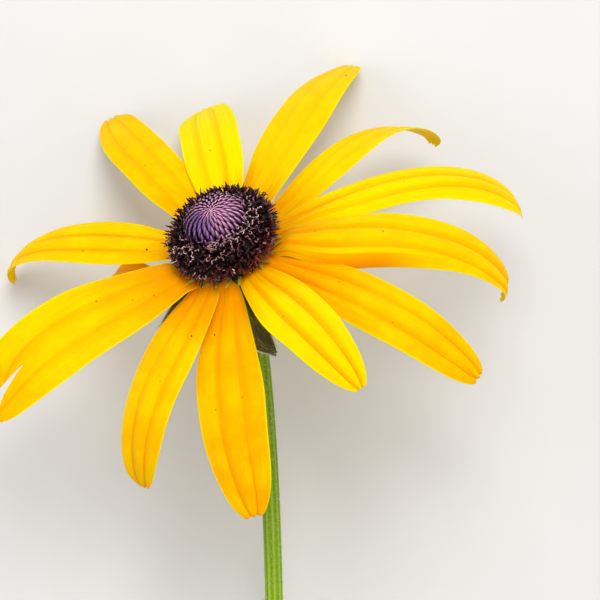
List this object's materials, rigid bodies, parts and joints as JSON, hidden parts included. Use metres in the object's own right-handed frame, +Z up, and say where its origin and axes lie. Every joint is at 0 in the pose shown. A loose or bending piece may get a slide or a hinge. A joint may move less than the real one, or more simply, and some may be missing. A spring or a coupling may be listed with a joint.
{
  "type": "black eyed susan flower",
  "caption": "Single cut daisy-like flower with long drooping yellow rays round a dark raised disc, on a thin ribbed green stem, lying on a surface.",
  "frame": {"origin": "on the surface that the flower lies on, under the middle of the whole flower's box", "axes": "+Z up from the surface, +Y along the stem from its cut end towards the head"},
  "size_m": [0.0818, 0.1842, 0.0541],
  "materials": {
    "ray_petal": "soft satin petal",
    "disc_floret": "matt dark florets",
    "disc_bud": "matt purple buds",
    "bract": "matt hairy green",
    "stem": "satin ribbed green with hairs"
  },
  "bodies": {
    "root": {"ray_floret_01": "ray_petal", "ray_floret_02": "ray_petal", "ray_floret_03": "ray_petal", "ray_floret_04": "ray_petal", "ray_floret_05": "ray_petal", "ray_floret_06": "ray_petal", "ray_floret_07": "ray_petal", "ray_floret_08": "ray_petal", "ray_floret_09": "ray_petal", "ray_floret_10": "ray_petal", "ray_floret_11": "ray_petal", "ray_floret_12": "ray_petal", "ray_floret_13": "ray_petal", "disc_florets": "disc_floret", "disc_buds": "disc_bud", "involucre": "bract", "stem": "stem"}
  },
  "joints": []
}
